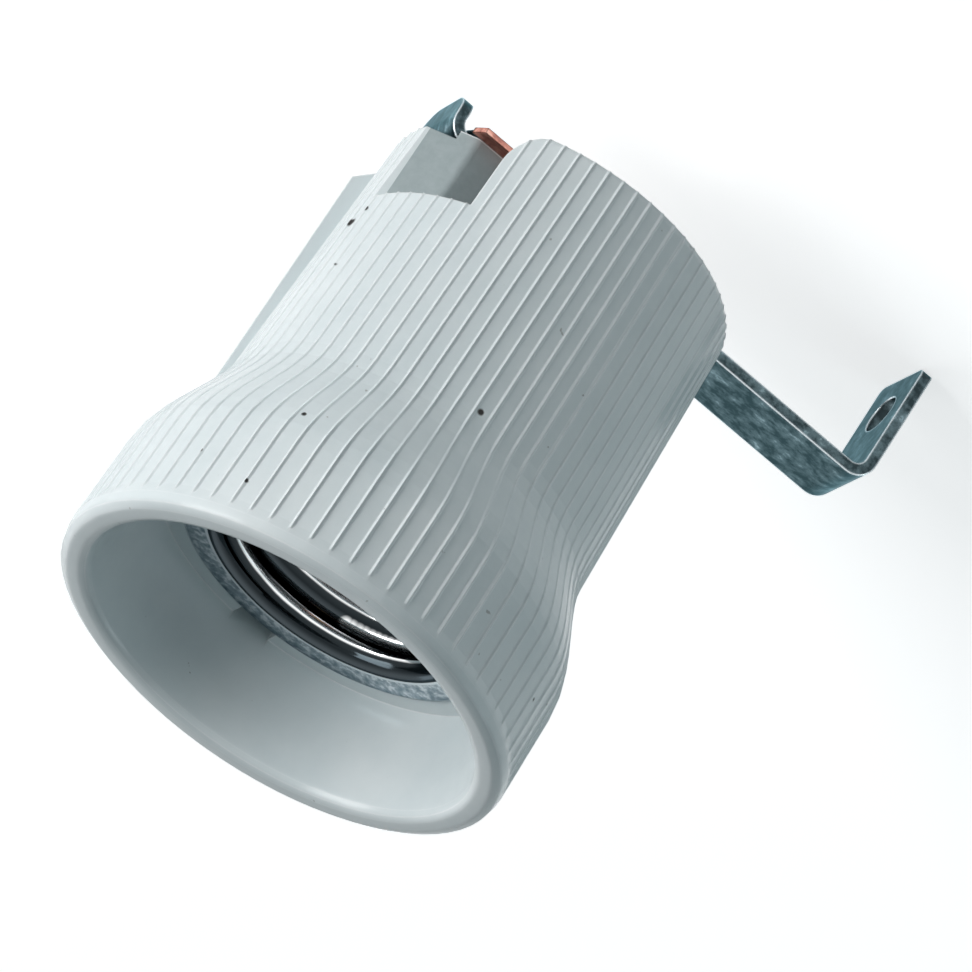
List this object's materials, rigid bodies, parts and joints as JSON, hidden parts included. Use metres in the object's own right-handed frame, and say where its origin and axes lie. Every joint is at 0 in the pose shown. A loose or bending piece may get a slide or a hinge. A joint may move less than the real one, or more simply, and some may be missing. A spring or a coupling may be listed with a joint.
{
  "type": "lamp holder",
  "caption": "White glazed porcelain screw lamp holder with fluted barrel, bell mouth and bent zinc-plated steel strap bracket.",
  "frame": {"origin": "centre of the fixing hole, on the outer face of the bracket's long arm", "axes": "+Z along the socket's axis, out of the mouth; -X out of the outer face of the long arm"},
  "size_m": [0.0598, 0.047, 0.0662],
  "materials": {
    "porcelain": "glossy",
    "nickel_brass": "polished",
    "bronze": "satin",
    "brass": "satin",
    "zinc_steel": "satin"
  },
  "bodies": {
    "holder": {"porcelain_body": "porcelain", "screw_shell": "nickel_brass", "contact_leaf": "bronze", "contact_rivet": "nickel_brass", "shell_rivet": "nickel_brass", "contact_terminal": "bronze", "shell_terminal": "bronze", "bracket_strap": "zinc_steel", "tab_side_screw": "zinc_steel", "arm_side_screw": "zinc_steel", "tab_side_nut": "zinc_steel", "arm_side_nut": "zinc_steel"},
    "centre_contact": {"contact_tip": "brass"},
    "contact_clamp_screw": {"contact_clamp_screw": "zinc_steel"},
    "shell_clamp_screw": {"shell_clamp_screw": "zinc_steel"},
    "contact_clamp_nut": {"contact_clamp_nut": "zinc_steel"},
    "shell_clamp_nut": {"shell_clamp_nut": "zinc_steel"}
  },
  "joints": [
    {"name": "contact_press", "type": "slide", "parent": "holder", "child": "centre_contact", "axis": [0, 0, -1], "range_m": [0, 0.0012], "stiffness_N_per_m": 2500, "deforming": ["contact_leaf"]},
    {"name": "contact_clamp_turn", "type": "hinge", "parent": "holder", "child": "contact_clamp_screw", "pos_m": [0.0428, -0.0085, 0.0075], "axis": [0, 0, -1], "range_deg": [0, 1080]},
    {"name": "contact_clamp_travel", "type": "slide", "parent": "holder", "child": "contact_clamp_nut", "axis": [0, 0, 1], "range_m": [0, 0.0015]},
    {"name": "shell_clamp_turn", "type": "hinge", "parent": "holder", "child": "shell_clamp_screw", "pos_m": [0.0298, 0.0085, 0.0075], "axis": [0, 0, -1], "range_deg": [0, 1080]},
    {"name": "shell_clamp_travel", "type": "slide", "parent": "holder", "child": "shell_clamp_nut", "axis": [0, 0, 1], "range_m": [0, 0.0015]}
  ],
  "couplings": [
    {"joint": "contact_clamp_turn", "follows": "contact_clamp_travel", "rad_per_m": 12566},
    {"joint": "shell_clamp_turn", "follows": "shell_clamp_travel", "rad_per_m": 12566}
  ]
}
